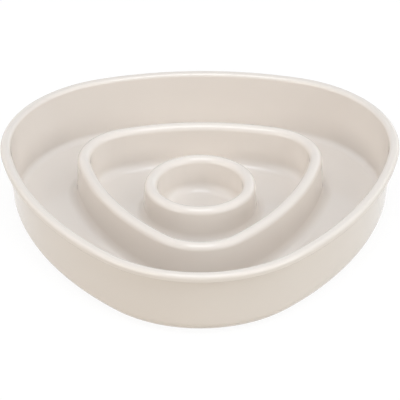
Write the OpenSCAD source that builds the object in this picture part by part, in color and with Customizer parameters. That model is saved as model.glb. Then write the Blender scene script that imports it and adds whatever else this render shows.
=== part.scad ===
/* [Outline] */
// Width of the bowl across its lip
bowl_w = 230; // [215:1:280]
// Radius of the three rounded corners, at the lip's outer edge
corner_r = 78; // [74:1:95]
// Half the angle that each long side turns through, in degrees
side_half = 17.72; // [14:0.01:24]

/* [Height] */
// Height of the moulding, from its base rim to the top of its lip
bowl_h = 41.1; // [37:0.1:55]
// Height of the feeding floor above the base rim
floor_h = 5.1; // [4:0.1:8]

/* [Wall] */
// Thickness of the floor and of the walls of the hollow ridges
shell_t = 2.4; // [1.8:0.1:3]
// Draft of the outer wall, in degrees
wall_draft = 5; // [1:0.5:6]
// Radius where the outer wall turns under
base_r = 7; // [3:0.5:8]
// Width of the flat rim under the wall
base_rim_w = 2.6; // [1.5:0.1:5]
// Radius where the outer wall meets the floor
wall_floor_r = 4.2; // [3:0.1:6]
// Radius where the ridge and the ring meet the floor
floor_r = 6; // [4:0.5:7]

/* [Lip] */
// Width of the lip, from its outer edge to the inside of the wall
lip_w = 5.8; // [5.4:0.1:9]
// Height of the lip's outer face
lip_h = 4.4; // [4:0.1:8]
// How far the lip stands out from the wall
lip_over = 3.9; // [3:0.1:4.1]
// Radius of the lip's two upper edges
lip_r = 2.2; // [1:0.1:2.7]

/* [Ridge] */
// Distance from the lip's outer edge to the middle of the ridge
ridge_inset = 47.7; // [42:0.1:52]
// Height of the ridge above the base rim
ridge_h = 31.2; // [20:0.1:34]
// Width of the ridge at its top
ridge_w = 7.5; // [6.4:0.1:9]

/* [Cup ring] */
// Radius of the middle of the cup's ring
ring_r = 28.3; // [24:0.1:30]
// Height of the ring above the base rim
ring_h = 26.1; // [16:0.1:32]
// Width of the ring at its top
ring_w = 7.5; // [6.4:0.1:9]

/* [Feet] */
// Diameter of a foot
foot_d = 14; // [8:0.5:17]
// How far the feet stand below the base rim
foot_stand = 1; // [0.6:0.1:3]
// Distance from the lip's outer edge to a foot's centre
foot_inset = 26; // [24:0.5:28]

/* [Hidden] */

// Draft of the ridge and the ring, in degrees
ridge_draft = 1.8;
// Radius of the two upper edges of the ridge or the ring, as a share of its width
bead_share = 0.49;
// Radius at the top of the hollow beneath, and the most that it takes of the hollow's half width
hollow_top_r = 0.4;
hollow_share = 0.9;
// Radius of the lip's lower outer edge
lip_edge_r = 0.8;
// Thickness of the lip's outer skirt, and the depth of the groove behind it
lip_skirt_t = 2.2;
lip_groove_h = 2.4;
// Wall of the collar round a foot, and its radial clearance to the foot
collar_t = 1.6;
collar_gap = 0.15;
// How far the collar stops short of the base rim
collar_short = 0.5;
// Radius of a foot's lower edge
foot_edge_r = 0.8;
// How far plates that join on the flat floor overlap
lap = 2;
// Steps in each rounded edge of a profile, and in each arc of the floor plate
arc_steps = 6;
plate_steps = 8;
// Fineness of round shapes
round_fn = 96;
// Finest step but one in which a swept arc is placed
fine_step = 0.0001;

bowl_colour = "#eae3dd";
foot_colour = "#b9b3aa";

// The outline is six arcs that run into each other: three corners and three long sides
corners = 3;
turn = 360 / corners;
front = -90;
half_span = bowl_w / 2 - corner_r;
corner_out = half_span / cos(turn / 4);
arc_gap = half_span / sin(side_half);
side_r = corner_r + arc_gap;
corner_half = turn / 2 - side_half;
side_back = arc_gap * cos(side_half) - corner_out / 2;
corner_reach = corner_out + corner_r;
side_reach = side_r - side_back;
// The footprint's box is centred on the origin, so the bowl's own middle lies a little behind it
middle_y = (corner_reach - side_reach) / 2;

// Points along an arc
function arc(c, r, from, to, steps) = [
    for (i = [0:steps]) let (a = from + (to - from) * i / steps) [c[0] + r * cos(a), c[1] + r * sin(a)]
];

// Where a drafted flank that touches the circle c, r stands at height z; way is 1 inwards, -1 outwards
function flank(c, r, draft, way, z) = c[0] + way * (r / cos(draft) + (c[1] - z) * tan(draft));

// Centre of a rounding of radius f between such a flank and the floor
function floor_c(c, r, draft, way, f) =
    let (z = floor_h + f) [flank(c, r, draft, way, z) + way * f / cos(draft), z];

// The outer wall's outer face, as an inset from the lip's edge at height z
lip_low = bowl_h - lip_h;
function wall_out(z) = lip_over + (lip_low - z) * tan(wall_draft);

// The hollow under a ridge w wide: the radius at its top, and the centre of that radius beside the circle c, r
function hollow_r(w) = min(hollow_top_r, (w / 2 - shell_t) * hollow_share);
function hollow_c(c, r, w, way) =
    let (step = shell_t + hollow_r(w) - r, side = step * (1 - sin(ridge_draft)) / cos(ridge_draft))
        [c[0] - way * side, c[1] - step];

// Distance from the middle to the outline, drawn in by an inset
function reach(corner, inset) = (corner ? corner_reach : side_reach) - inset;

// Section through lip, wall, outer channel and ridge: inset from the lip's edge, and height
lip_out_c = [lip_r, bowl_h - lip_r];
lip_in_c = [lip_w - lip_r, bowl_h - lip_r];
wall_floor_c = floor_c(lip_in_c, lip_r, wall_draft, 1, wall_floor_r);
ridge_r = ridge_w * bead_share;
ridge_out_c = [ridge_inset - ridge_w / 2 + ridge_r, ridge_h - ridge_r];
ridge_in_c = [ridge_inset + ridge_w / 2 - ridge_r, ridge_h - ridge_r];
ridge_out_floor_c = floor_c(ridge_out_c, ridge_r, ridge_draft, -1, floor_r);
ridge_in_floor_c = floor_c(ridge_in_c, ridge_r, ridge_draft, 1, floor_r);
base_c = [wall_out(base_r) + base_r / cos(wall_draft), base_r];
rim_in = base_c[0] + base_rim_w;
under_h = floor_h - shell_t;
plate_inset = ridge_in_floor_c[0] + lap;
band_end = plate_inset + lap;
groove_h = lip_low + lip_groove_h;
flare_r = floor_r + shell_t;
ridge_hollow_r = hollow_r(ridge_w);

band_section = concat(
    arc([lip_edge_r, lip_low + lip_edge_r], lip_edge_r, 270, 180, arc_steps / 2),
    arc(lip_out_c, lip_r, 180, 90, arc_steps),
    arc(lip_in_c, lip_r, 90, wall_draft, arc_steps),
    arc(wall_floor_c, wall_floor_r, 180 + wall_draft, 270, arc_steps),
    arc(ridge_out_floor_c, floor_r, 270, 360 - ridge_draft, arc_steps),
    arc(ridge_out_c, ridge_r, 180 - ridge_draft, 90, arc_steps),
    arc(ridge_in_c, ridge_r, 90, ridge_draft, arc_steps),
    arc(ridge_in_floor_c, floor_r, 180 + ridge_draft, 270, arc_steps),
    [[band_end, floor_h], [band_end, under_h]],
    arc(ridge_in_floor_c, flare_r, 270, 180 + ridge_draft, arc_steps),
    arc(hollow_c(ridge_in_c, ridge_r, ridge_w, 1), ridge_hollow_r, ridge_draft, 90, arc_steps / 2),
    arc(hollow_c(ridge_out_c, ridge_r, ridge_w, -1), ridge_hollow_r, 90, 180 - ridge_draft, arc_steps / 2),
    arc(ridge_out_floor_c, flare_r, 360 - ridge_draft, 270, arc_steps),
    [[rim_in, under_h], [rim_in, 0]],
    arc(base_c, base_r, 270, 180 + wall_draft, arc_steps),
    [[wall_out(groove_h), groove_h], [lip_skirt_t, groove_h], [lip_skirt_t, lip_low]]
);

// Section through the cup and its ring: distance from the cup's axis, and height
ring_bead_r = ring_w * bead_share;
ring_hollow_r = hollow_r(ring_w);
cup_c = [ring_r - ring_w / 2 + ring_bead_r, ring_h - ring_bead_r];
ring_c = [ring_r + ring_w / 2 - ring_bead_r, ring_h - ring_bead_r];
cup_floor_c = floor_c(cup_c, ring_bead_r, ridge_draft, -1, floor_r);
ring_floor_c = floor_c(ring_c, ring_bead_r, ridge_draft, 1, floor_r);
ring_plate_r = ring_floor_c[0] + lap;

ring_section = concat(
    [[0, floor_h]],
    arc(cup_floor_c, floor_r, 270, 360 - ridge_draft, arc_steps),
    arc(cup_c, ring_bead_r, 180 - ridge_draft, 90, arc_steps),
    arc(ring_c, ring_bead_r, 90, ridge_draft, arc_steps),
    arc(ring_floor_c, floor_r, 180 + ridge_draft, 270, arc_steps),
    [[ring_plate_r + lap, floor_h], [ring_plate_r + lap, under_h]],
    arc(ring_floor_c, flare_r, 270, 180 + ridge_draft, arc_steps),
    arc(hollow_c(ring_c, ring_bead_r, ring_w, 1), ring_hollow_r, ridge_draft, 90, arc_steps / 2),
    arc(hollow_c(cup_c, ring_bead_r, ring_w, -1), ring_hollow_r, 90, 180 - ridge_draft, arc_steps / 2),
    arc(cup_floor_c, flare_r, 360 - ridge_draft, 270, arc_steps),
    [[0, under_h]]
);

// Moves a shape in three ever finer steps, so that arcs that meet do so to far less than a micron
module place(v) {
    whole = [for (x = v) round(x)];
    part = [for (x = v - whole) round(x / fine_step) * fine_step];
    translate(whole) translate(part) translate(v - whole - part) children();
}

// One arc of the outline, as a revolved piece of the section
module sweep_arc(out, way, r, half) {
    place([out * cos(way), out * sin(way), 0])
        rotate_extrude(start = way - half, angle = 2 * half, $fn = round_fn)
            place([r, 0])
                polygon([for (p = band_section) [-p[0], p[1]]]);
}

// Lip, wall, outer channel and ridge, all the way round
module band() {
    for (k = [0:corners - 1]) {
        sweep_arc(corner_out, front + turn * k, corner_r, corner_half);
        sweep_arc(-side_back, front + turn * (k + 1 / 2), side_r, side_half);
    }
}

// Points along one arc of the outline, drawn in by an inset
function edge(out, way, r, half) =
    arc([out * cos(way), out * sin(way)], r, way - half, way + half, plate_steps);

// The outline drawn in by an inset, as points
function plate_points(inset) = [
    for (k = [0:corners - 1])
        for (p = concat(
                edge(corner_out, front + turn * k, corner_r - inset, corner_half),
                edge(-side_back, front + turn * (k + 1 / 2), side_r - inset, side_half))) p
];

// The flat floor between the ridge and the ring
module inner_floor() {
    translate([0, 0, under_h])
        linear_extrude(shell_t)
            difference() {
                polygon(plate_points(plate_inset));
                circle(ring_plate_r, $fn = round_fn);
            }
}

module cup_and_ring() {
    rotate_extrude($fn = round_fn)
        polygon(ring_section);
}

// The six feet stand at the corners and under the middles of the sides, from the front anticlockwise
module at_foot(i) {
    r = reach(i % 2 == 0, foot_inset);
    way = front + turn / 2 * i;
    translate([r * cos(way), r * sin(way), 0]) children();
}

foot_r = foot_d / 2;

// A round collar under the floor that locates a foot
module collar() {
    inner = foot_r + collar_gap;
    translate([0, 0, collar_short])
        linear_extrude(under_h - collar_short + shell_t / 2)
            difference() {
                circle(inner + collar_t, $fn = round_fn);
                circle(inner, $fn = round_fn);
            }
}

module bowl() {
    color(bowl_colour)
        translate([0, middle_y, foot_stand]) {
            band();
            inner_floor();
            cup_and_ring();
            for (i = [0:2 * corners - 1]) at_foot(i) collar();
        }
}

// A rubber foot: a turned pad whose lower edge is rounded
module foot(i) {
    foot_h = under_h + foot_stand;
    color(foot_colour)
        translate([0, middle_y, 0])
            at_foot(i)
                rotate_extrude($fn = round_fn)
                    polygon(concat(
                        [[0, 0]],
                        arc([foot_r - foot_edge_r, foot_edge_r], foot_edge_r, 270, 360, arc_steps),
                        [[foot_r, foot_h], [0, foot_h]]
                    ));
}

bowl();
for (i = [0:2 * corners - 1])
    foot(i);
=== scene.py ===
import math
import bmesh
import bpy
from mathutils import Matrix, Vector


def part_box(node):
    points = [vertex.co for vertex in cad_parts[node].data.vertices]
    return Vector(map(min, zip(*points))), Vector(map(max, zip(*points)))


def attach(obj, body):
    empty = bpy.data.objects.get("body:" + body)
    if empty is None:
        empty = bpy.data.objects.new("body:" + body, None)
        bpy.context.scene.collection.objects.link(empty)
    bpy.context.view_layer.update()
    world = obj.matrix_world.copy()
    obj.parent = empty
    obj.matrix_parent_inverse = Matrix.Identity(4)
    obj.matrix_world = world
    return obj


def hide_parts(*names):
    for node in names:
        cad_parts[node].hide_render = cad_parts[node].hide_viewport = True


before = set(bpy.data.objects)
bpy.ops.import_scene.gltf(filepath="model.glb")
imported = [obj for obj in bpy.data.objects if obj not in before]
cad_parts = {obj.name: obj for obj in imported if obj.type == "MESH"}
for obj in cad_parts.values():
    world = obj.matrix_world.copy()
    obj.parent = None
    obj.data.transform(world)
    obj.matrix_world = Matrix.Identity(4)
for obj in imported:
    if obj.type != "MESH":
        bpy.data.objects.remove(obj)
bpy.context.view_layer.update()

mm = 0.001  # lengths are in millimetres until a piece is finished
scene = bpy.context.scene


# Small tools

drawing = {
    "weld": 0.01,             # points closer than this become one
    "fineSteps": 14,          # faces across a rounding that shows
    "smallSteps": 4,          # and across a small one
    "smallRounding": 1,       # the largest radius that counts as small
}


def hexColour(code):  # sRGB hex to linear RGBA
    channels = [int(code[i:i + 2], 16) / 255 for i in (1, 3, 5)]
    return [c / 12.92 if c <= 0.04045 else ((c + 0.055) / 1.055) ** 2.4 for c in channels] + [1]


def addNode(tree, kind, values=None, links=None, **settings):  # a node, its settings, socket values and links
    node = tree.nodes.new(kind)
    for name, value in settings.items():
        setattr(node, name, value)
    for socket, value in (values or {}).items():
        node.inputs[socket].default_value = value
    for socket, source in (links or {}).items():
        tree.links.new(source, node.inputs[socket])
    return node


def newMaterial(name):
    material = bpy.data.materials.new(name)
    material.use_nodes = True
    material.node_tree.nodes.clear()
    return material, material.node_tree


def addObject(name, data):
    made = bpy.data.objects.new(name, data)
    scene.collection.objects.link(made)
    return made


def rotation(degrees, axis):
    return Matrix.Rotation(math.radians(degrees), 4, axis)


def standOff(azimuth, elevation, distance):  # a place, turned from the front and raised, that faces the origin
    return rotation(azimuth, "Z") @ rotation(90 - elevation, "X") @ Matrix.Translation((0, 0, distance))


def finishPiece(name, bm, material, place):  # a bmesh in millimetres becomes a piece in metres
    bmesh.ops.remove_doubles(bm, verts=bm.verts, dist=drawing["weld"])
    bmesh.ops.dissolve_degenerate(bm, edges=bm.edges, dist=drawing["weld"])
    bmesh.ops.recalc_face_normals(bm, faces=bm.faces)
    bmesh.ops.translate(bm, verts=bm.verts, vec=place)
    bmesh.ops.scale(bm, verts=bm.verts, vec=(mm, mm, mm))
    for face in bm.faces:
        face.smooth = True
    mesh = bpy.data.meshes.new(name)
    bm.to_mesh(mesh)
    bm.free()
    piece = addObject(name, mesh)
    mesh.materials.append(material)
    flats = piece.modifiers.new("flats", "WEIGHTED_NORMAL")  # keeps flat faces flat beside their roundings
    flats.keep_sharp = True
    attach(piece, "root")
    return piece


def drawSection(bm, corners):  # sharp corners (distance, height, radius), joined by edges and then rounded
    verts = [bm.verts.new((across, 0, up)) for across, up, radius in corners]
    for first, second in zip(verts, verts[1:]):
        bm.edges.new((first, second))
    for vert, (across, up, radius) in zip(verts, corners):
        if radius:
            arms = [edge.other_vert(vert).co - vert.co for edge in vert.link_edges]
            tangent = radius / math.tan(arms[0].angle(arms[1]) / 2)
            steps = drawing["fineSteps"] if radius > drawing["smallRounding"] else drawing["smallSteps"]
            bmesh.ops.bevel(
                bm, geom=[vert], affect="VERTICES", offset_type="OFFSET", offset=tangent,
                segments=steps, profile=0.5, material=-1)
    edges = [edge for edge in bm.edges if edge.is_wire]
    return edges + list(dict.fromkeys(vert for edge in edges for vert in edge.verts))


def spinPiece(corners, steps, closed=False):  # a section turned once round the middle
    bm = bmesh.new()
    section = drawSection(bm, corners)
    if closed:
        ends = [vert for vert in bm.verts if len(vert.link_edges) == 1]
        section.append(bm.edges.new(ends))
    bmesh.ops.spin(
        bm, geom=section, cent=(0, 0, 0), axis=(0, 0, 1), angle=2 * math.pi, steps=steps,
        use_merge=True, use_duplicate=False)
    bmesh.ops.remove_doubles(bm, verts=bm.verts, dist=drawing["weld"])
    return bm


def flank(halfWidth, radius, draft, top, up):  # how far out a drafted flank stands at a height
    slope = math.radians(draft)
    return halfWidth - radius + radius / math.cos(slope) + (top - radius - up) * math.tan(slope)


def polar(distance, angle):
    return Vector((distance * math.cos(angle), distance * math.sin(angle), 0))


# Bowl: one moulding. Lip, wall, channel and ridge are one section swept round the six arcs of the outline.
# Its distances run inwards from the lip's outer edge, and those of the cup's ring out from the cup's axis.
# Heights are above the base.

bowl = {
    "corners": 3,
    "cornerRadius": 78,       # lip's outer edge, at the three corners
    "sideHalfAngle": 17.72,   # half of what a long side turns through, degrees
    "cornerSteps": 40,        # faces along a corner and along a side
    "sideSteps": 26,
    "floor": 5.1,             # top of the feeding floor
    "shell": 2.4,             # thickness of the floor and of the hollow ridges
    "floorFillet": 6,         # where the ridge and the ring meet the floor
    "flatEdge": 60,           # inset at which the swept part hands over to the flat floor
}
lip = {
    "width": 5.8,
    "faceHeight": 4.4,
    "overhang": 3.9,          # how far it stands out from the wall
    "radius": 2.2,            # its two upper edges
    "lowerRadius": 0.8,
    "skirt": 2.2,             # thickness outside the groove beneath it
    "grooveDepth": 2.4,
    "grooveRadius": 0.5,
}
wall = {
    "draft": 5,               # degrees
    "floorFillet": 4.2,
    "baseRadius": 7,
    "rimWidth": 2.6,          # flat rim that the wall ends in
    "rimRadius": 0.5,
}
ridge = {
    "place": 47.7,            # middle of its top, in from the lip's outer edge
    "height": 31.2,
    "width": 7.5,
    "bead": 3.675,            # rounding over its top
    "draft": 1.8,
    "hollow": 0.4,            # rounding at the top of the hollow beneath
}
ring = {
    "place": 28.3,            # middle of its top, out from the cup's axis
    "height": 26.1,
    "width": 7.5,
    "bead": 3.675,
    "draft": 1.8,
    "hollow": 0.4,
    "flatEdge": 40,           # radius at which the flat floor takes over
}
gate = {"radius": 3, "height": 0.4, "edge": 0.15}  # where the plastic entered the mould, under the cup

bowlLow, bowlHigh = (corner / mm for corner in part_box("bowl"))
bowlHeight = bowlHigh.z - bowlLow.z
halfSpan = (bowlHigh.x - bowlLow.x) / 2 - bowl["cornerRadius"]  # half the way between two corners' centres
cornerTurn = 2 * math.pi / bowl["corners"]
cornerOut = halfSpan / math.sin(cornerTurn / 2)  # from the middle to a corner's centre
sideHalf = math.radians(bowl["sideHalfAngle"])
cornerHalf = cornerTurn / 2 - sideHalf
arcGap = halfSpan / math.sin(sideHalf)           # from a corner's centre to a side's
sideBack = arcGap * math.cos(sideHalf) - cornerOut * math.cos(cornerTurn / 2)  # and from the middle to a side's
frontAngle = -math.pi / 2                        # the front corner points along -Y
middle = Vector((0, bowlLow.y + cornerOut + bowl["cornerRadius"], bowlLow.z))  # the cup's axis, at the base
underside = bowl["floor"] - bowl["shell"]
lipLow = bowlHeight - lip["faceHeight"]


def wallOut(up):  # outer face of the wall
    return lip["overhang"] + (lipLow - up) * math.tan(math.radians(wall["draft"]))


def wallIn(up):  # and its inner face
    return flank(lip["width"], lip["radius"], wall["draft"], bowlHeight, up)


def ridgeSide(shape, way, up, inwards=0):  # a flank of the ridge or the ring, or of the hollow inside it
    halfWidth = shape["width"] / 2 - inwards
    return shape["place"] + way * flank(halfWidth, shape["bead"], shape["draft"], shape["height"], up)


def overRidge(shape, near, far):  # the roundings over the ridge or the ring, from one side to the other
    floor, fillet, top = bowl["floor"], bowl["floorFillet"], shape["height"]
    return [
        (ridgeSide(shape, near, floor), floor, fillet),
        (ridgeSide(shape, near, top), top, shape["bead"]),
        (ridgeSide(shape, far, top), top, shape["bead"]),
        (ridgeSide(shape, far, floor), floor, fillet),
    ]


def underRidge(shape, near, far):  # the hollow beneath, one shell thickness inside
    across = bowl["shell"] / math.cos(math.radians(shape["draft"]))
    flare, top = bowl["floorFillet"] + bowl["shell"], shape["height"] - bowl["shell"]
    return [
        (ridgeSide(shape, near, underside, across), underside, flare),
        (ridgeSide(shape, near, top, across), top, shape["hollow"]),
        (ridgeSide(shape, far, top, across), top, shape["hollow"]),
        (ridgeSide(shape, far, underside, across), underside, flare),
    ]


def bandSection():  # from the flat floor out over ridge, channel and lip, and back beneath
    rim = wallOut(0) + wall["baseRadius"] + wall["rimWidth"]
    grooveTop = lipLow + lip["grooveDepth"]
    corners = [
        (bowl["flatEdge"], bowl["floor"], 0),
        *overRidge(ridge, 1, -1),
        (wallIn(bowl["floor"]), bowl["floor"], wall["floorFillet"]),
        (wallIn(bowlHeight), bowlHeight, lip["radius"]),
        (0, bowlHeight, lip["radius"]),
        (0, lipLow, lip["lowerRadius"]),
        (lip["skirt"], lipLow, lip["grooveRadius"]),
        (lip["skirt"], grooveTop, lip["grooveRadius"]),
        (wallOut(grooveTop), grooveTop, lip["grooveRadius"]),
        (wallOut(0), 0, wall["baseRadius"]),
        (rim, 0, wall["rimRadius"]),
        (rim, underside, wall["rimRadius"]),
        *underRidge(ridge, -1, 1),
        (bowl["flatEdge"], underside, 0),
    ]
    return [(-inset, up, radius) for inset, up, radius in corners]


def ringSections():  # over the cup's ring, and beneath it with the gate mark
    over = [
        (0, bowl["floor"], 0),
        *overRidge(ring, -1, 1),
        (ring["flatEdge"], bowl["floor"], 0),
    ]
    gateLow = underside - gate["height"]
    under = [
        (0, gateLow, 0),
        (gate["radius"], gateLow, gate["edge"]),
        (gate["radius"], underside, gate["edge"]),
        *underRidge(ring, -1, 1),
        (ring["flatEdge"], underside, 0),
    ]
    return over, under


def sweepBand(bm):  # the section goes to the start of the front corner, then round each corner and side in turn
    section = drawSection(bm, bandSection())
    toArc = Matrix.Translation((bowl["cornerRadius"], 0, 0))
    toStart = Matrix.Rotation(frontAngle - cornerHalf, 4, "Z")
    toCorner = Matrix.Translation(polar(cornerOut, frontAngle))
    verts = [item for item in section if isinstance(item, bmesh.types.BMVert)]
    bmesh.ops.transform(bm, matrix=toCorner @ toStart @ toArc, verts=verts)
    for corner in range(bowl["corners"]):
        facing = frontAngle + cornerTurn * corner
        arcs = (
            (polar(cornerOut, facing), cornerHalf, bowl["cornerSteps"]),
            (polar(-sideBack, facing + cornerTurn / 2), sideHalf, bowl["sideSteps"]),
        )
        for centre, half, steps in arcs:
            swept = bmesh.ops.spin(
                bm, geom=section, cent=centre, axis=(0, 0, 1), angle=2 * half, steps=steps,
                use_merge=False, use_duplicate=False)
            section = swept["geom_last"]
    bmesh.ops.remove_doubles(bm, verts=bm.verts, dist=drawing["weld"])


def spinRing(bm):
    steps = bowl["corners"] * (bowl["cornerSteps"] + bowl["sideSteps"])  # as fine as the swept part
    for corners in ringSections():
        part = spinPiece(corners, steps)
        mesh = bpy.data.meshes.new("ringPart")
        part.to_mesh(mesh)
        part.free()
        bm.from_mesh(mesh)
        bpy.data.meshes.remove(mesh)


def fillFloor(bm):  # the flat floor between ridge and ring, above and beneath
    for up in (bowl["floor"], underside):
        edges = [edge for edge in bm.edges
                 if edge.is_boundary and abs(edge.verts[0].co.z - up) < drawing["weld"]]
        bmesh.ops.triangle_fill(bm, edges=edges, use_beauty=True, normal=(0, 0, 1))


def makeBowl(material):
    bm = bmesh.new()
    sweepBand(bm)
    spinRing(bm)
    fillFloor(bm)
    piece = finishPiece("slowFeederBowl", bm, material, middle)
    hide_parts("bowl")


# Feet: rubber pads in round collars under the floor

foot = {
    "steps": 64,              # faces round a pad, and round its collar
    "gripRadius": 4.2,        # shallow dish in the pad's underside
    "gripDepth": 0.4,
    "gripEdge": 0.3,
    "edge": 0.8,
    "topEdge": 0.2,
}
collar = {
    "clearance": 0.15,
    "wall": 1.6,
    "lowEnd": 0.5,            # above the base rim's plane
    "sunk": 0.8,              # into the floor
    "edge": 0.3,
    "rootFillet": 0.8,
    "rootSink": 0.1,          # how far the fillet's outer edge runs into the floor, so that no edge shows
}
footNodes = [name for name in sorted(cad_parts) if name.startswith("foot_")]


def footSeat(node):  # centre, radius and top of the CAD foot
    low, high = (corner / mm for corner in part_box(node))
    return (low + high) / 2, (high.x - low.x) / 2, high.z


def makeFoot(node, material):
    centre, radius, top = footSeat(node)
    bm = spinPiece([
        (0, foot["gripDepth"], 0),
        (foot["gripRadius"], foot["gripDepth"], foot["gripEdge"]),
        (foot["gripRadius"] + foot["gripEdge"], 0, foot["gripEdge"] / 2),
        (radius, 0, foot["edge"]),
        (radius, top, foot["topEdge"]),
        (0, top, 0),
    ], foot["steps"])
    piece = finishPiece("pad_" + node, bm, material, (centre.x, centre.y, 0))
    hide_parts(node)


def makeCollar(node, material):
    centre, radius, top = footSeat(node)
    inner = radius + collar["clearance"]
    outer = inner + collar["wall"]
    rootOut = outer + 2 * collar["rootFillet"]
    rootUp = underside + collar["sunk"]
    bm = spinPiece([
        (inner, rootUp, 0),
        (inner, collar["lowEnd"], collar["edge"]),
        (outer, collar["lowEnd"], collar["edge"]),
        (outer, underside, collar["rootFillet"]),
        (rootOut, underside + collar["rootSink"], 0),
        (rootOut, rootUp, 0),
    ], foot["steps"], closed=True)
    piece = finishPiece("collar_" + node, bm, material, (centre.x, centre.y, middle.z))


# Polypropylene, injection moulded in a polished tool: an even warm off-white that clouds a little where the
# melt flowed, a clear gloss, and a faint orange peel that softens the edges of reflections

plastic = {
    "base": "#EBE4DD",
    "flow": "#E9E2DB",
    "cloud": 35,              # mm across a cloud
    "cloudDetail": 3,
    "roughness": (0.035, 0.05),  # least and most
    "peel": 1.6,              # mm across a bump of the orange peel
    "peelHeight": 0.001,      # mm
    "peelDetail": 2,
    "ior": 1.49,
}


def mouldedPlastic():
    material, tree = newMaterial("glossPolypropylene")
    where = addNode(tree, "ShaderNodeTexCoord").outputs["Object"]
    cloud = addNode(
        tree, "ShaderNodeTexNoise",
        {"Scale": 1 / (plastic["cloud"] * mm), "Detail": plastic["cloudDetail"]}, {"Vector": where})
    colour = addNode(tree, "ShaderNodeValToRGB", links={"Fac": cloud.outputs["Fac"]})
    colour.color_ramp.elements[0].color = hexColour(plastic["flow"])
    colour.color_ramp.elements[1].color = hexColour(plastic["base"])
    low, high = plastic["roughness"]
    gloss = addNode(
        tree, "ShaderNodeMapRange", {"To Min": low, "To Max": high}, {"Value": cloud.outputs["Fac"]})
    peel = addNode(
        tree, "ShaderNodeTexNoise",
        {"Scale": 1 / (plastic["peel"] * mm), "Detail": plastic["peelDetail"]}, {"Vector": where})
    bump = addNode(
        tree, "ShaderNodeBump", {"Strength": 1, "Distance": plastic["peelHeight"] * mm},
        {"Height": peel.outputs["Fac"]})
    surface = addNode(
        tree, "ShaderNodeBsdfPrincipled", {"IOR": plastic["ior"]},
        {"Base Color": colour.outputs["Color"], "Roughness": gloss.outputs["Result"],
         "Normal": bump.outputs["Normal"]})
    addNode(tree, "ShaderNodeOutputMaterial", links={"Surface": surface.outputs["BSDF"]})
    return material


# Silicone rubber, moulded: matt, a little darker than the bowl, with a fine even grain

rubber = {
    "light": "#BDB7AE",
    "dark": "#AFA9A0",
    "grain": 0.5,             # mm across a grain, coarser than a real one so that it shows
    "grainHeight": 0.03,      # mm
    "grainDetail": 3,
    "grainStrength": 0.6,
    "roughness": 0.62,
    "ior": 1.41,
}


def padRubber():
    material, tree = newMaterial("mattSiliconeRubber")
    where = addNode(tree, "ShaderNodeTexCoord").outputs["Object"]
    grain = addNode(
        tree, "ShaderNodeTexNoise",
        {"Scale": 1 / (rubber["grain"] * mm), "Detail": rubber["grainDetail"]}, {"Vector": where})
    colour = addNode(tree, "ShaderNodeValToRGB", links={"Fac": grain.outputs["Fac"]})
    colour.color_ramp.elements[0].color = hexColour(rubber["dark"])
    colour.color_ramp.elements[1].color = hexColour(rubber["light"])
    bump = addNode(
        tree, "ShaderNodeBump", {"Strength": rubber["grainStrength"], "Distance": rubber["grainHeight"] * mm},
        {"Height": grain.outputs["Fac"]})
    surface = addNode(
        tree, "ShaderNodeBsdfPrincipled", {"IOR": rubber["ior"], "Roughness": rubber["roughness"]},
        {"Base Color": colour.outputs["Color"], "Normal": bump.outputs["Normal"]})
    addNode(tree, "ShaderNodeOutputMaterial", links={"Surface": surface.outputs["BSDF"]})
    return material


# Camera, as the photo was taken: from the front, a little over the rim, through a long lens

camera = {
    "distance": 1350,
    "elevation": 31.946,      # degrees
    "turn": -0.195,           # degrees about the bowl's middle
    "roll": -0.251,
    "aim": (-0.146, 21.357, 0),  # the point it faces, from the bowl's middle
    "pixelsPerMm": 1.7057,    # at the aim point
    "pixelsAcross": 400,
    "sensor": 36,
}


def makeCamera():
    data = bpy.data.cameras.new("studioCamera")
    data.sensor_width = camera["sensor"]
    data.lens = camera["sensor"] * camera["pixelsPerMm"] * camera["distance"] / camera["pixelsAcross"]
    viewer = addObject("studioCamera", data)
    aim = rotation(camera["turn"], "Z") @ Matrix.Translation(Vector(camera["aim"]) * mm)
    stand = standOff(0, camera["elevation"], camera["distance"] * mm)
    viewer.matrix_world = Matrix.Translation(middle * mm) @ aim @ stand @ rotation(camera["roll"], "Z")
    scene.camera = viewer


# Studio: a white floor and world, and soft lamps whose powers and tints were fitted to the photo's brightness

studio = {
    "floorSize": 6,            # m
    "floorColour": "#D4CEC4",  # as the floor lights the bowl
    "floorGlow": 0.92,         # as the camera and reflections see it: a glow, and dark paper that adds the
    "floorPaper": "#595959",   # rest of the white and takes the shadow
    "world": 0.02,             # as the world lights the bowl, while the camera and reflections see white
    "worldTint": (1.03, 1.0, 0.97),
}
lamps = {  # azimuth from the front and elevation in degrees, distance, width and depth in m, watts, tint
    "topStrip": (0, 77, 1.6, 0.84, 0.86, 8.9, (0.94, 1.0, 1.065)),
    "sky": (0, 90, 1.8, 3, 3, 12.8, (0.99, 1.0, 1.01)),
    "rightBox": (57, 46, 1.6, 1.6, 0.6, 2.3, (0.98, 1.0, 1.02)),
    "leftLow": (-55, 23, 1.6, 1.42, 0.6, 8.3, (1.05, 1.0, 0.94)),
    "rightLow": (55, 23, 1.6, 1.42, 0.6, 8.9, (1.0, 1.0, 0.98)),
    "leftSide": (-105, 30, 1.6, 0.9, 1.3, 3.3, (1.06, 1.0, 0.95)),
    "rightSide": (105, 30, 1.6, 0.9, 1.3, 2.6, (1.02, 1.0, 0.99)),
    "backLeft": (-140, 18, 1.6, 1.2, 0.6, 0.8, (1.0, 1.0, 1.0)),
    "backRight": (140, 18, 1.6, 1.2, 0.6, 1.7, (1.0, 1.0, 1.0)),
    "frontLow": (0, 5, 1.6, 3.2, 0.3, 2.6, (1.1, 1.0, 0.9)),
}


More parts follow.
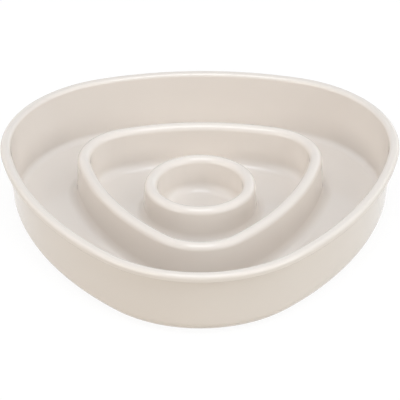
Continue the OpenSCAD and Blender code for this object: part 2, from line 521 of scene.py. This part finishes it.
def shownApart(tree, lighting, shown):  # one shader lights the bowl, and camera and reflections see the other
    rays = addNode(tree, "ShaderNodeLightPath")
    cameraOrGlossy = addNode(
        tree, "ShaderNodeMath", links={0: rays.outputs["Is Camera Ray"], 1: rays.outputs["Is Glossy Ray"]},
        operation="MAXIMUM")
    seen = addNode(
        tree, "ShaderNodeMath",
        links={0: cameraOrGlossy.outputs["Value"], 1: rays.outputs["Is Transmission Ray"]}, operation="MAXIMUM")
    mix = addNode(tree, "ShaderNodeMixShader", links={"Fac": seen.outputs["Value"], 1: lighting, 2: shown})
    return mix.outputs["Shader"]


def makeFloor():
    bm = bmesh.new()
    bmesh.ops.create_grid(bm, x_segments=1, y_segments=1, size=studio["floorSize"] / 2)
    mesh = bpy.data.meshes.new("studioFloor")
    bm.to_mesh(mesh)
    bm.free()
    floor = addObject("studioFloor", mesh)
    material, tree = newMaterial("whiteSweep")
    lighting = addNode(tree, "ShaderNodeBsdfDiffuse", {"Color": hexColour(studio["floorColour"])})
    paper = addNode(tree, "ShaderNodeBsdfDiffuse", {"Color": hexColour(studio["floorPaper"])})
    glow = addNode(tree, "ShaderNodeEmission", {"Strength": studio["floorGlow"]})
    shown = addNode(
        tree, "ShaderNodeAddShader", links={0: paper.outputs["BSDF"], 1: glow.outputs["Emission"]})
    surface = shownApart(tree, lighting.outputs["BSDF"], shown.outputs["Shader"])
    addNode(tree, "ShaderNodeOutputMaterial", links={"Surface": surface})
    mesh.materials.append(material)


def makeWorld():
    world = bpy.data.worlds.new("studioWorld")
    world.use_nodes = True
    tree = world.node_tree
    tree.nodes.clear()
    lighting = addNode(
        tree, "ShaderNodeBackground", {"Color": (*studio["worldTint"], 1), "Strength": studio["world"]})
    white = addNode(tree, "ShaderNodeBackground", {"Color": (1, 1, 1, 1), "Strength": 1})
    surface = shownApart(tree, lighting.outputs["Background"], white.outputs["Background"])
    addNode(tree, "ShaderNodeOutputWorld", links={"Surface": surface})
    scene.world = world


def makeLamps():
    for name, (azimuth, elevation, distance, width, depth, power, tint) in lamps.items():
        data = bpy.data.lights.new(name, "AREA")
        data.shape = "RECTANGLE"
        data.size = width
        data.size_y = depth
        data.energy = power
        data.color = tint
        addObject(name, data).matrix_world = standOff(azimuth, elevation, distance)


makeCamera()
bowlPlastic = mouldedPlastic()
footRubber = padRubber()
print("making the bowl")
makeBowl(bowlPlastic)
print("making feet and collars")
for node in footNodes:
    makeFoot(node, footRubber)
    makeCollar(node, bowlPlastic)
print("setting up the studio")
makeFloor()
makeWorld()
makeLamps()
scene.view_settings.view_transform = "Standard"

bpy.context.view_layer.update()
